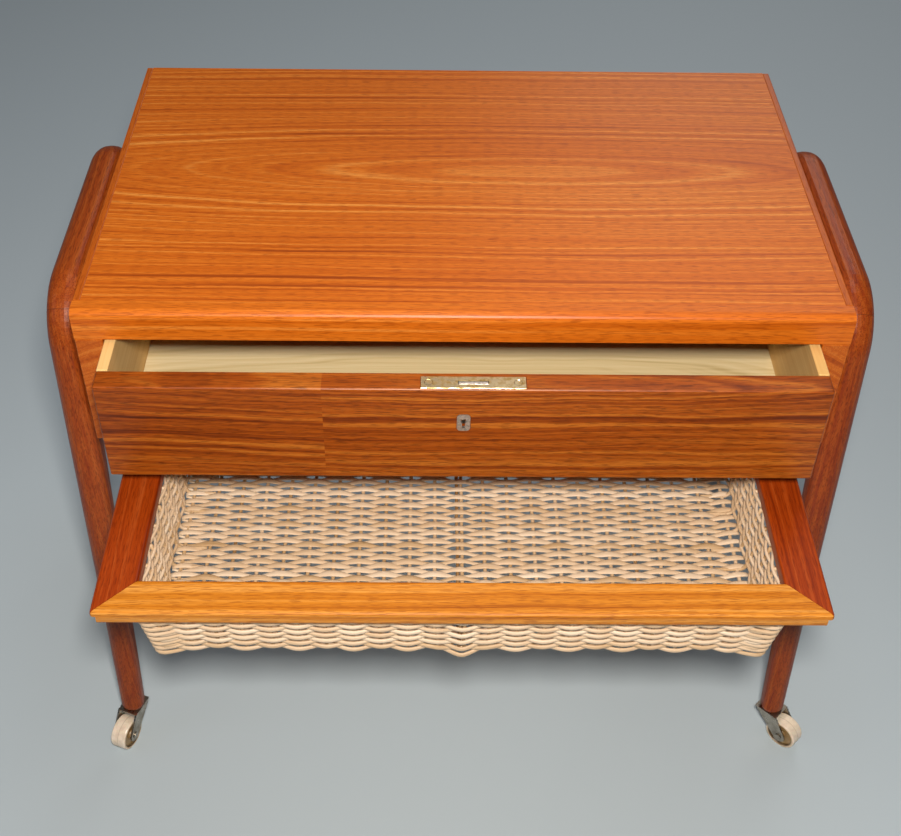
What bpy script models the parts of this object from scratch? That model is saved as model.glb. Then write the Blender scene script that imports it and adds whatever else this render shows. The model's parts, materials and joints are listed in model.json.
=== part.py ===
"""Teak sewing table: a low case with one locking drawer, carried between two side
frames on casters, with a woven cane tray that slides out below it.

Metres, +Z up, the wheels stand on Z = 0. X runs along the case, Y from front to back.
Inside the script Y = 0 is the front of the case; the root empty then moves everything
so that the object stands centred on the origin. The pieces rest as the table is shown:
the drawer pulled out a little, the tray pulled out further and the casters turned out.
"""
import math

import bmesh
import bpy
from mathutils import Vector

# ---- driving dimensions --------------------------------------------------------------
GAP = 0.0003            # air between two pieces that touch
CUT_THROUGH = 0.001     # how far a cutter runs out of the piece that it cuts
SHY = 0.0001            # sinks a face that would lie flush with another
EDGE_BREAK = 0.0008     # rounding of the case's long edges
FINE_BREAK = 0.0005     # rounding of thin boards and metal
TOTAL_HEIGHT = 0.512    # floor to the top of the case

CASE_WIDTH = 0.560
CASE_DEPTH = 0.352
CASE_HEIGHT = 0.124
TOP_THICK = 0.0245
SIDE_THICK = 0.020
BOTTOM_THICK = 0.0095
BOTTOM_FRONT_INSET = 0.0005
BACK_THICK = 0.008
BACK_INSET = 0.004      # back panel in from the rear edge
LIPPING = 0.0055        # solid strips along the left and right edges of the top
FRONT_EDGE = 0.014      # solid strip along the front edge of the top
FRONT_ROUND = 0.006     # rounding of the top's front edge

# side frames: an inverted U of a top rail and two splayed legs
FRAME_GAP = 0.010       # clear space between the case and each frame
FRAME_DROP = 0.0255     # top of the rail below the top of the case
FRAME_INSET = 0.040     # front of the rail behind the front of the case
FRAME_REAR_INSET = 0.053    # back of the rail in front of the back of the case
FRAME_CORNER = 0.052    # outer radius of the corners
SECTION = 0.028         # thickness of rail and leg at the top
OUTER_ROUND = 0.96      # share of half the section that is rounded off outside
INNER_ROUND = 0.82      # the same towards the case
LEG_TIP = 0.021         # thickness of the leg at the caster
LEG_SPLAY = math.radians(7.45)
LEG_END_ABOVE_WHEEL = 0.0065    # leaves room for the fork's sheet and washer
LEG_END_ROUND = 0.004
SPACER_INSET = 0.055    # spacers in from the ends of the rail
SPACER_RADIUS = 0.008
FRAME_SCREW_LENGTH = 0.036
FRAME_SCREW_SHANK = 0.0022
FRAME_SCREW_HEAD = 0.0045
FRAME_SCREW_SINK = 0.002

# drawer
DRAWER_OUT = 0.0495     # how far it stands open
DRAWER_CLEAR = 0.001    # at each side and below
DRAWER_TOP_CLEAR = 0.002
DRAWER_FRONT_THICK = 0.018
DRAWER_FRONT_ROUND = 0.0015
DRAWER_SIDE_THICK = 0.008
DRAWER_BOTTOM_THICK = 0.004
DRAWER_BOTTOM_RAISE = 0.004
DRAWER_BOTTOM_SHORT = 0.002
DRAWER_BEHIND = 0.024   # space behind the closed drawer
DRAWER_BACK_DROP = 0.008
DRAWER_GROOVE = 0.004
STOP_DEPTH = 0.008
STOP_WIDTH = 0.020
STOP_HEIGHT = 0.010

# lock in the drawer's front
PLATE_LENGTH = 0.074
PLATE_WIDTH = 0.0125
PLATE_THICK = 0.0015
PLATE_FROM_FRONT = 0.0016
PLATE_OFFSET = 0.0064   # the keyhole is in the drawer's middle, the plate is beside it
LOCK_LENGTH = 0.060
LOCK_THICK = 0.0088
LOCK_HEIGHT = 0.040
LOCK_FROM_FRONT = 0.0050
BOLT_LENGTH = 0.021
BOLT_THICK = 0.0032
BOLT_HEIGHT = 0.019
BOLT_CLEAR = 0.0004
BOLT_THROW = 0.006
BOLT_MORTISE = 0.0085   # depth of the bolt's pocket in the top's front edge
BOLT_MORTISE_SPARE = 0.002
BOLT_BELOW_PLATE = 0.0004
LOCK_SCREW_INSET = 0.0055
LOCK_SCREW_HEAD = 0.0027
LOCK_SCREW_SHANK = 0.0012
LOCK_SCREW_LENGTH = 0.011
KEYHOLE_DOWN = 0.0315   # from the drawer's top edge to the middle of the escutcheon
ESCUTCHEON_WIDTH = 0.0095
ESCUTCHEON_HEIGHT = 0.0155
ESCUTCHEON_THICK = 0.0025
ESCUTCHEON_CORNER = 0.0027
KEYHOLE_ROUND = 0.0022
KEYHOLE_SLOT = 0.0022
KEYHOLE_SLOT_DROP = 0.0052
KEYHOLE_LIFT = 0.0016   # round hole above the middle of the escutcheon
KEY_PIN_RADIUS = 0.0009
KEY_PIN_LENGTH = 0.0075
KEY_POCKET_DEPTH = 0.0035
KEY_POCKET_SPARE = 0.0004
KEY_PIN_SEAT = 0.001    # how deep the pin stands in the lock

# sliding tray: a mitred teak frame that carries a woven basket
TRAY_OUT = 0.158
TRAY_BELOW_CASE = 0.0144
TRAY_SHORTER = 0.007    # than the case is deep
TRAY_IN_FROM_CASE = 0.0208  # each side of the frame, inside the case's side
TRAY_THICK = 0.012
TRAY_RAIL = 0.030
TRAY_ROUND = 0.0025
TONGUE_OUT = 0.0040
TONGUE_THICK = 0.0045
TONGUE_CLEAR = 0.0006
RUNNER_WIDTH = 0.020
RUNNER_BELOW_TRAY_TOP = 0.0095
RUNNER_INSET = 0.006
BASKET_UNDER_SIDES = 0.004  # how far the rim reaches out under the side rails
BASKET_FROM_ENDS = 0.0055   # the rim behind the frame's front edge, and in from its back
BASKET_DEPTH = 0.0520
BASKET_WALL = 0.007
BASKET_FLOOR = 0.006
BASKET_LEAN = 0.0075
BASKET_CORNER = 0.009

# casters
WHEEL_RADIUS = 0.0155
WHEEL_WIDTH = 0.0148
WHEEL_ROUND = 0.0012
WHEEL_RIM = 0.0026      # flat ring round the dished side
WHEEL_DISH = 0.0018
WHEEL_HUB_RADIUS = 0.0042
CASTER_TRAIL = 0.019
FORK_SHEET = 0.0016
FORK_CLEAR = 0.0008
FORK_LENGTH = 0.023
FORK_EYE = 0.0064
STEM_RADIUS = 0.0036
STEM_LENGTH = 0.026
STEM_CLEAR = 0.0004
STEM_WASHER = 0.0008
STEM_WASHER_RADIUS = 0.0065
WASHER_SINK = 0.0004
AXLE_RADIUS = 0.0018
AXLE_CLEAR = 0.0003
AXLE_HEAD = 0.0030
AXLE_HEAD_THICK = 0.0008
# how far each caster trails away from straight ahead or straight back, outward
CASTER_TURN = {
    "front_left": math.radians(22),
    "front_right": math.radians(45),
    "rear_left": math.radians(45),
    "rear_right": math.radians(22),
}

# ---- places that follow from the dimensions -------------------------------------------
CASE_HALF = CASE_WIDTH / 2
FRAME_LENGTH = CASE_DEPTH - FRAME_INSET - FRAME_REAR_INSET
LEG_END = 2 * WHEEL_RADIUS + LEG_END_ABOVE_WHEEL
DRAWER_LENGTH = CASE_DEPTH - DRAWER_BEHIND
TRAY_LENGTH = CASE_DEPTH - TRAY_SHORTER
TRAY_HALF_WIDTH = CASE_HALF - TRAY_IN_FROM_CASE
CASE_TOP = TOTAL_HEIGHT
CASE_BOTTOM = CASE_TOP - CASE_HEIGHT
OPENING_TOP = CASE_TOP - TOP_THICK
OPENING_BOTTOM = CASE_BOTTOM + BOTTOM_THICK
OPENING_HALF = CASE_HALF - SIDE_THICK
SIDES_TOP = OPENING_TOP - GAP

FRAME_X = CASE_HALF + FRAME_GAP + SECTION / 2
RAIL_TOP = CASE_TOP - FRAME_DROP
RAIL_MIDDLE = RAIL_TOP - SECTION / 2
BEND = FRAME_CORNER - SECTION / 2           # radius of the corner's centre line
JOINT_STUB = 0.0006                         # straight end that squares a joint's face
BEND_FRONT = FRAME_INSET + FRAME_CORNER     # centre of the front corner
BEND_REAR = FRAME_INSET + FRAME_LENGTH - FRAME_CORNER
BEND_Z = RAIL_TOP - FRAME_CORNER
LEG_START_OUT = BEND * math.cos(LEG_SPLAY)
LEG_START_Z = BEND_Z + BEND * math.sin(LEG_SPLAY)
LEG_RUN = (LEG_START_Z - LEG_END) * math.tan(LEG_SPLAY)
LEG_FOOT_FRONT = BEND_FRONT - LEG_START_OUT - LEG_RUN
LEG_FOOT_REAR = BEND_REAR + LEG_START_OUT + LEG_RUN

DRAWER_HALF = OPENING_HALF - DRAWER_CLEAR
DRAWER_TOP = OPENING_TOP - DRAWER_TOP_CLEAR
DRAWER_BASE = OPENING_BOTTOM + DRAWER_CLEAR
DRAWER_INNER_HALF = DRAWER_HALF - DRAWER_SIDE_THICK
DRAWER_FLOOR = DRAWER_BASE + DRAWER_BOTTOM_RAISE + DRAWER_BOTTOM_THICK
BOLT_Y = PLATE_FROM_FRONT + PLATE_WIDTH / 2
KEYHOLE_Z = DRAWER_TOP - KEYHOLE_DOWN

TRAY_TOP = CASE_BOTTOM - TRAY_BELOW_CASE
TRAY_BASE = TRAY_TOP - TRAY_THICK
TRAY_INNER_HALF = TRAY_HALF_WIDTH - TRAY_RAIL
BASKET_RIM = TRAY_BASE - GAP
BASKET_TOP_HALF = TRAY_INNER_HALF + BASKET_UNDER_SIDES
BASKET_MIDDLE_Y = TRAY_LENGTH / 2
BASKET_TOP_HALF_Y = TRAY_LENGTH / 2 - BASKET_FROM_ENDS


def caster_reach(turn):
    """How far a wheel reaches behind its swivel axis, seen from the side."""
    return (CASTER_TRAIL + WHEEL_RADIUS) * math.cos(turn) + WHEEL_WIDTH / 2 * math.sin(turn)


REAR_REACH = LEG_FOOT_REAR + max(caster_reach(CASTER_TURN[n]) for n in ("rear_left", "rear_right"))
FRONT_REACH = -TRAY_OUT
ROOT_Y = -(FRONT_REACH + REAR_REACH) / 2


# ---- scene and helpers ----------------------------------------------------------------
for old in list(bpy.data.objects):
    bpy.data.objects.remove(old, do_unlink=True)

PARTS = bpy.data.collections.new("sewing_table")
CUTTERS = bpy.data.collections.new("cutters")
for group in (PARTS, CUTTERS):
    bpy.context.scene.collection.children.link(group)


def linear(hex_colour):
    """Turn a #rrggbb colour into the linear values that a shader takes."""
    values = [int(hex_colour[i:i + 2], 16) / 255 for i in (1, 3, 5)]
    return tuple(v / 12.92 if v <= 0.04045 else ((v + 0.055) / 1.055) ** 2.4 for v in values) + (1.0,)


def finish(name, colour, roughness, metallic=0.0):
    """A plain Principled material."""
    material = bpy.data.materials.new(name)
    material.use_nodes = True
    shader = material.node_tree.nodes["Principled BSDF"]
    shader.inputs["Base Color"].default_value = linear(colour)
    shader.inputs["Roughness"].default_value = roughness
    shader.inputs["Metallic"].default_value = metallic
    return material


FINISHES = {
    "teak_top": ("#b4551b", 0.38, 0.0),
    "teak_edge": ("#a8501c", 0.42, 0.0),
    "teak_frame": ("#7a2c0e", 0.40, 0.0),
    "teak_front": ("#a04a1a", 0.40, 0.0),
    "teak_tray": ("#c4661f", 0.42, 0.0),
    "birch": ("#d8b87c", 0.60, 0.0),
    "plywood": ("#d3c29a", 0.65, 0.0),
    "beech": ("#b98a52", 0.60, 0.0),
    "cane": ("#dfc8a0", 0.60, 0.0),
    "brass": ("#c9a25a", 0.32, 1.0),
    "steel": ("#a9a8a4", 0.35, 1.0),
    "nickel": ("#b9b4a8", 0.30, 1.0),
    "nylon": ("#e8dcc4", 0.45, 0.0),
}


def empty(name, parent=None, location=(0, 0, 0), turn=0.0):
    """A parent that carries a group of pieces."""
    holder = bpy.data.objects.new(name, None)
    PARTS.objects.link(holder)
    holder.location = location
    holder.rotation_euler = (0, 0, turn)
    holder.parent = parent
    return holder


def add_object(name, mesh, material, parent, location, cutter=False):
    """Link a mesh as a named piece with a material of its own, or as a cutter."""
    piece = bpy.data.objects.new(name, mesh)
    (CUTTERS if cutter else PARTS).objects.link(piece)
    piece.location = location
    piece.parent = parent
    if cutter:
        piece.hide_render = True
        piece.display_type = "WIRE"
    else:
        mesh.materials.append(finish(name + "_" + material, *FINISHES[material]))
    return piece


def bevelled(piece, width, segments=2, angle=math.radians(30)):
    """Break the sharp edges."""
    modifier = piece.modifiers.new("edges", "BEVEL")
    modifier.width = width
    modifier.segments = segments
    modifier.angle_limit = angle
    return piece


def box(name, material, parent, low, high, bevel=0.0, segments=1, cutter=False):
    """A block between two corners."""
    low = Vector(low)
    high = Vector(high)
    bm = bmesh.new()
    bmesh.ops.create_cube(bm, size=1.0)
    bmesh.ops.scale(bm, vec=high - low, verts=bm.verts)
    mesh = bpy.data.meshes.new(name)
    bm.to_mesh(mesh)
    bm.free()
    piece = add_object(name, mesh, material, parent, (low + high) / 2, cutter)
    if bevel:
        bevelled(piece, bevel, segments)
    return piece


def cylinder(name, material, parent, radius, length, centre, axis="Z", segments=24,
             top_radius=None, cutter=False):
    """A round bar or a cone along X, Y or Z."""
    bm = bmesh.new()
    bmesh.ops.create_cone(bm, cap_ends=True, segments=segments, radius1=radius,
                          radius2=radius if top_radius is None else top_radius, depth=length)
    mesh = bpy.data.meshes.new(name)
    bm.to_mesh(mesh)
    bm.free()
    piece = add_object(name, mesh, material, parent, centre, cutter)
    piece.rotation_euler = {"X": (0, math.pi / 2, 0), "Y": (-math.pi / 2, 0, 0), "Z": (0, 0, 0)}[axis]
    return piece


def combine(piece, tool, operation="DIFFERENCE"):
    """Cut a tool from a piece, or join it on."""
    modifier = piece.modifiers.new(tool.name, "BOOLEAN")
    modifier.operation = operation
    modifier.solver = "EXACT"
    modifier.object = tool
    return piece


def block_tool(name, parent, low, high):
    return box(name, None, parent, low, high, cutter=True)


def drill(name, parent, radius, length, centre, axis, segments=20):
    return cylinder(name, None, parent, radius, length, centre, axis, segments, cutter=True)


def curve_mesh(name, curve):
    """Turn a curve into a clean closed mesh."""
    holder = bpy.data.objects.new(name + "_curve", curve)
    bpy.context.scene.collection.objects.link(holder)
    graph = bpy.context.evaluated_depsgraph_get()
    mesh = bpy.data.meshes.new_from_object(holder.evaluated_get(graph))
    mesh.materials.clear()
    bm = bmesh.new()
    bm.from_mesh(mesh)
    bmesh.ops.remove_doubles(bm, verts=bm.verts, dist=1e-6)
    bmesh.ops.recalc_face_normals(bm, faces=bm.faces)
    bm.to_mesh(mesh)
    bm.free()
    bpy.data.objects.remove(holder, do_unlink=True)
    bpy.data.curves.remove(curve)
    return mesh


def flat_plate(name, points, thickness):
    """A closed mesh of a flat outline, standing in local XY."""
    curve = bpy.data.curves.new(name, "CURVE")
    curve.dimensions = "2D"
    curve.fill_mode = "BOTH"
    curve.extrude = thickness / 2
    spline = curve.splines.new("POLY")
    spline.points.add(len(points) - 1)
    for point, (x, y) in zip(spline.points, points):
        point.co = (x, y, 0, 1)
    spline.use_cyclic_u = True
    return curve_mesh(name, curve)


def arc(centre, radius, start, end, steps):
    """Points on an arc, both ends included; angles in radians."""
    return [(centre[0] + radius * math.cos(start + (end - start) * i / steps),
             centre[1] + radius * math.sin(start + (end - start) * i / steps))
            for i in range(steps + 1)]


def screw(name, parent, material, head, shank, length, centre, axis, sign):
    """A countersunk screw; centre is the middle of its head's flat, sign its direction."""
    depth = head - shank
    step = {"X": Vector((sign, 0, 0)), "Y": Vector((0, sign, 0)), "Z": Vector((0, 0, sign))}[axis]
    radii = (head, shank) if sign > 0 else (shank, head)
    piece = cylinder(name, material, parent, radii[0], depth, Vector(centre) + step * depth / 2,
                     axis, 20, radii[1])
    overlap = depth / 2
    bar = cylinder(name + "_shank", None, parent, shank * 0.98, length - depth + overlap,
                   Vector(centre) + step * (depth + length - overlap) / 2, axis, 16, cutter=True)
    return combine(piece, bar, "UNION")


# ---- case -----------------------------------------------------------------------------
def build_case(root):
    """Veneered top with solid edges, two sides, back, bottom and the drawer's stops."""
    inner = CASE_HALF - LIPPING
    box("top_board", "teak_top", root,
        (-inner + GAP, FRONT_EDGE + GAP, OPENING_TOP), (inner - GAP, CASE_DEPTH, CASE_TOP))
    for side, sign in (("left", -1), ("right", 1)):
        low, high = sorted((sign * inner, sign * CASE_HALF))
        box("top_lipping_" + side, "teak_edge", root,
            (low, FRONT_EDGE + GAP, OPENING_TOP), (high, CASE_DEPTH, CASE_TOP), EDGE_BREAK, 2)
        low, high = sorted((sign * OPENING_HALF, sign * CASE_HALF))
        panel = box("side_panel_" + side, "teak_edge", root,
                    (low, 0, CASE_BOTTOM), (high, CASE_DEPTH, SIDES_TOP), EDGE_BREAK, 2)
        for end, y in spacer_places():
            combine(panel, drill(f"side_bore_{end}_{side}", root, FRAME_SCREW_SHANK + GAP,
                                 SIDE_THICK * 3, (sign * CASE_HALF, y, RAIL_MIDDLE), "X"))
            sink = FRAME_SCREW_SINK + FRAME_SCREW_HEAD - FRAME_SCREW_SHANK + GAP
            combine(panel, drill(f"side_sink_{end}_{side}", root, FRAME_SCREW_HEAD + GAP, sink * 2,
                                 (sign * OPENING_HALF, y, RAIL_MIDDLE), "X"))
    front = box("top_front_edge", "teak_edge", root,
                (-CASE_HALF, 0, OPENING_TOP), (CASE_HALF, FRONT_EDGE, CASE_TOP))
    round_front_edge(front)
    half = BOLT_LENGTH / 2 + BOLT_MORTISE_SPARE
    mortise = block_tool("bolt_mortise", root,
                         (PLATE_OFFSET - half, BOLT_Y - BOLT_THICK, OPENING_TOP - CUT_THROUGH),
                         (PLATE_OFFSET + half, BOLT_Y + BOLT_THICK, OPENING_TOP + BOLT_MORTISE))
    combine(front, mortise)
    back_y = CASE_DEPTH - BACK_INSET
    box("back_panel", "plywood", root,
        (-OPENING_HALF + GAP, back_y - BACK_THICK, OPENING_BOTTOM + GAP),
        (OPENING_HALF - GAP, back_y, SIDES_TOP))
    box("bottom_panel", "plywood", root,
        (-OPENING_HALF + GAP, BOTTOM_FRONT_INSET, CASE_BOTTOM), (OPENING_HALF - GAP, back_y, OPENING_BOTTOM))
    for side, sign in (("left", -1), ("right", 1)):
        middle = sign * (OPENING_HALF - STOP_WIDTH)
        box("drawer_stop_" + side, "beech", root,
            (middle - STOP_WIDTH / 2, DRAWER_LENGTH + GAP, OPENING_BOTTOM + GAP),
            (middle + STOP_WIDTH / 2, DRAWER_LENGTH + GAP + STOP_DEPTH, OPENING_BOTTOM + GAP + STOP_HEIGHT))


def round_front_edge(piece):
    """Round the upper front edge with a large radius, and only that edge."""
    mesh = piece.data
    bm = bmesh.new()
    bm.from_mesh(mesh)
    edges = [e for e in bm.edges
             if all(v.co.y < 0 and v.co.z > 0 for v in e.verts)]
    bmesh.ops.bevel(bm, geom=edges, offset=FRONT_ROUND, segments=6, profile=0.5, affect="EDGES")
    bm.to_mesh(mesh)
    bm.free()


# ---- side frames ----------------------------------------------------------------------
def spacer_places():
    return (("front", FRAME_INSET + SPACER_INSET),
            ("rear", FRAME_INSET + FRAME_LENGTH - SPACER_INSET))


def frame_section(name, sign):
    """Cross-section of rail and leg: round outside, a little fuller towards the case."""
    half = SECTION / 2
    points = []
    for corner_sign, start, share, steps in ((1, 0, OUTER_ROUND, 6), (-1, 1, INNER_ROUND, 5),
                                             (-1, 2, INNER_ROUND, 5), (1, 3, OUTER_ROUND, 6)):
        radius = half * share
        along_sign = 1 if start < 2 else -1
        centre = (corner_sign * (half - radius), along_sign * (half - radius))
        points += arc(centre, radius, start * math.pi / 2, (start + 1) * math.pi / 2, steps)
    curve = bpy.data.curves.new(name, "CURVE")
    curve.dimensions = "2D"
    spline = curve.splines.new("POLY")
    spline.points.add(len(points) - 1)
    for point, (out, along) in zip(spline.points, points):
        point.co = (along, sign * out, 0, 1)
    spline.use_cyclic_u = True
    holder = bpy.data.objects.new(name, curve)
    bpy.context.scene.collection.objects.link(holder)
    return holder


def swept(name, path, radii, sign):
    """Sweep the frame's section along a path in the Y-Z plane, scaled by each radius."""
    section = frame_section(name + "_section", sign)
    curve = bpy.data.curves.new(name, "CURVE")
    curve.dimensions = "2D"
    curve.bevel_mode = "OBJECT"
    curve.bevel_object = section
    curve.use_fill_caps = True
    spline = curve.splines.new("POLY")
    spline.points.add(len(path) - 1)
    for point, (y, z), radius in zip(spline.points, path, radii):
        point.co = (y, z, 0, 1)
        point.radius = radius
    mesh = curve_mesh(name, curve)
    outline = section.data
    bpy.data.objects.remove(section, do_unlink=True)
    bpy.data.curves.remove(outline)
    return mesh


def joint_stub(toward):
    """Straight start at a corner's 45 degree joint: -1 runs down the leg, 1 along the rail."""
    share = math.sqrt(0.5)
    step = (-share * toward, share * toward)
    return [(share * BEND + step[0] * run, share * BEND + step[1] * run)
            for run in (GAP / 2, GAP / 2 + JOINT_STUB)]


def leg_path(front):
    """Centre line of a leg from the joint in the corner down to its foot, front or rear."""
    bend = joint_stub(-1) + arc((0, 0), BEND, math.pi / 4, LEG_SPLAY, 7)[1:]
    run = LEG_START_Z - LEG_END
    tip = LEG_TIP / SECTION
    path = [(y, z + BEND_Z) for y, z in bend]
    radii = [1.0] * len(path)
    for drop in [run * i / 6 for i in range(1, 6)]:
        path.append((LEG_START_OUT + drop * math.tan(LEG_SPLAY), LEG_START_Z - drop))
        radii.append(1 + (tip - 1) * drop / run)
    # the last stretch stands upright, so that the foot is level, and is rounded
    for lift, shrink in ((1.0, 1.0), (0.45, 0.95), (0.12, 0.86), (0.0, 0.78)):
        path.append((LEG_START_OUT + LEG_RUN, LEG_END + LEG_END_ROUND * lift))
        radii.append(tip * shrink)
    sign = -1 if front else 1
    origin = BEND_FRONT if front else BEND_REAR
    return [(origin + sign * y, z) for y, z in path], radii


def rail_path():
    """Centre line of a top rail, from the front corner's joint to the rear one's."""
    bend = joint_stub(1) + arc((0, 0), BEND, math.pi / 4, math.pi / 2, 7)[1:]
    front = [(BEND_FRONT - y, z + BEND_Z) for y, z in bend]
    rear = [(BEND_REAR + y, z + BEND_Z) for y, z in reversed(bend)]
    return front + rear


def build_frames(root):
    """Two side frames with the spacers and screws that hold the case between them."""
    upright = (math.pi / 2, 0, math.pi / 2)
    for side, sign in (("left", -1), ("right", 1)):
        path = rail_path()
        rail = add_object("side_rail_" + side, swept("rail", path, [1.0] * len(path), sign),
                          "teak_frame", root, (sign * FRAME_X, 0, 0))
        rail.rotation_euler = upright
        for end, y in spacer_places():
            inner = FRAME_X - SECTION / 2
            spacer = cylinder(f"frame_spacer_{end}_{side}", "teak_frame", root, SPACER_RADIUS,
                              FRAME_GAP - 2 * GAP,
                              (sign * (CASE_HALF + FRAME_GAP / 2), y, RAIL_MIDDLE), "X")
            start = OPENING_HALF + FRAME_SCREW_SINK
            screw(f"frame_screw_{end}_{side}", root, "steel", FRAME_SCREW_HEAD, FRAME_SCREW_SHANK,
                  FRAME_SCREW_LENGTH, (sign * start, y, RAIL_MIDDLE), "X", sign)
            combine(spacer, drill(f"spacer_bore_{end}_{side}", root, FRAME_SCREW_SHANK + GAP,
                                  FRAME_GAP * 2, (sign * (CASE_HALF + FRAME_GAP / 2), y, RAIL_MIDDLE), "X"))
            depth = start + FRAME_SCREW_LENGTH - inner + CUT_THROUGH
            combine(rail, drill(f"rail_bore_{end}_{side}", root, FRAME_SCREW_SHANK + GAP, depth * 2,
                                (sign * inner, y, RAIL_MIDDLE), "X"))
        for end, front in (("front", True), ("rear", False)):
            path, radii = leg_path(front)
            leg = add_object(f"leg_{end}_{side}", swept("leg", path, radii, sign),
                             "teak_frame", root, (sign * FRAME_X, 0, 0))
            leg.rotation_euler = upright
            foot = LEG_FOOT_FRONT if front else LEG_FOOT_REAR
            combine(leg, drill(f"stem_bore_{end}_{side}", root, STEM_RADIUS + STEM_CLEAR,
                               2 * (STEM_LENGTH + CUT_THROUGH), (sign * FRAME_X, foot, LEG_END), "Z"))


# ---- drawer ---------------------------------------------------------------------------
def keyhole_tool(name, parent, depth, y, round_radius, slot, drop):
    """Cutter in the shape of a keyhole: a round hole and the slot below it."""
    hole = drill(name, parent, round_radius, depth, (0, y, KEYHOLE_Z + KEYHOLE_LIFT), "Y")
    bit = block_tool(name + "_slot", parent, (-slot / 2, y - depth / 2, KEYHOLE_Z - drop),
                     (slot / 2, y + depth / 2, KEYHOLE_Z + KEYHOLE_LIFT))
    return combine(hole, bit, "UNION")


def build_drawer(root):
    """Teak front, birch box with its bottom in a groove, and the lock."""
    slide = empty("drawer_slide", root, (0, -DRAWER_OUT, 0))
    front = box("drawer_front", "teak_front", slide, (-DRAWER_HALF, 0, DRAWER_BASE),
                (DRAWER_HALF, DRAWER_FRONT_THICK, DRAWER_TOP), DRAWER_FRONT_ROUND, 3)
    back_y = DRAWER_LENGTH - DRAWER_SIDE_THICK
    groove_low = DRAWER_BASE + DRAWER_BOTTOM_RAISE
    groove_half = DRAWER_INNER_HALF + DRAWER_GROOVE
    groove = block_tool("drawer_groove", slide,
                        (-groove_half, DRAWER_FRONT_THICK - DRAWER_GROOVE, groove_low - GAP),
                        (groove_half, DRAWER_LENGTH + CUT_THROUGH, DRAWER_FLOOR + GAP))
    box("drawer_bottom", "plywood", slide,
        (-groove_half + GAP, DRAWER_FRONT_THICK - DRAWER_GROOVE + GAP, groove_low),
        (groove_half - GAP, DRAWER_LENGTH - DRAWER_BOTTOM_SHORT, DRAWER_FLOOR))
    combine(front, groove)
    for side, sign in (("left", -1), ("right", 1)):
        low, high = sorted((sign * DRAWER_INNER_HALF, sign * DRAWER_HALF))
        wall = box("drawer_side_" + side, "birch", slide, (low, DRAWER_FRONT_THICK + GAP, DRAWER_BASE),
                   (high, DRAWER_LENGTH, DRAWER_TOP), FINE_BREAK)
        combine(wall, groove)
    box("drawer_back", "birch", slide, (-DRAWER_INNER_HALF + GAP, back_y, DRAWER_FLOOR + GAP),
        (DRAWER_INNER_HALF - GAP, DRAWER_LENGTH, DRAWER_TOP - DRAWER_BACK_DROP), FINE_BREAK)
    build_lock(slide, front)


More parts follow.
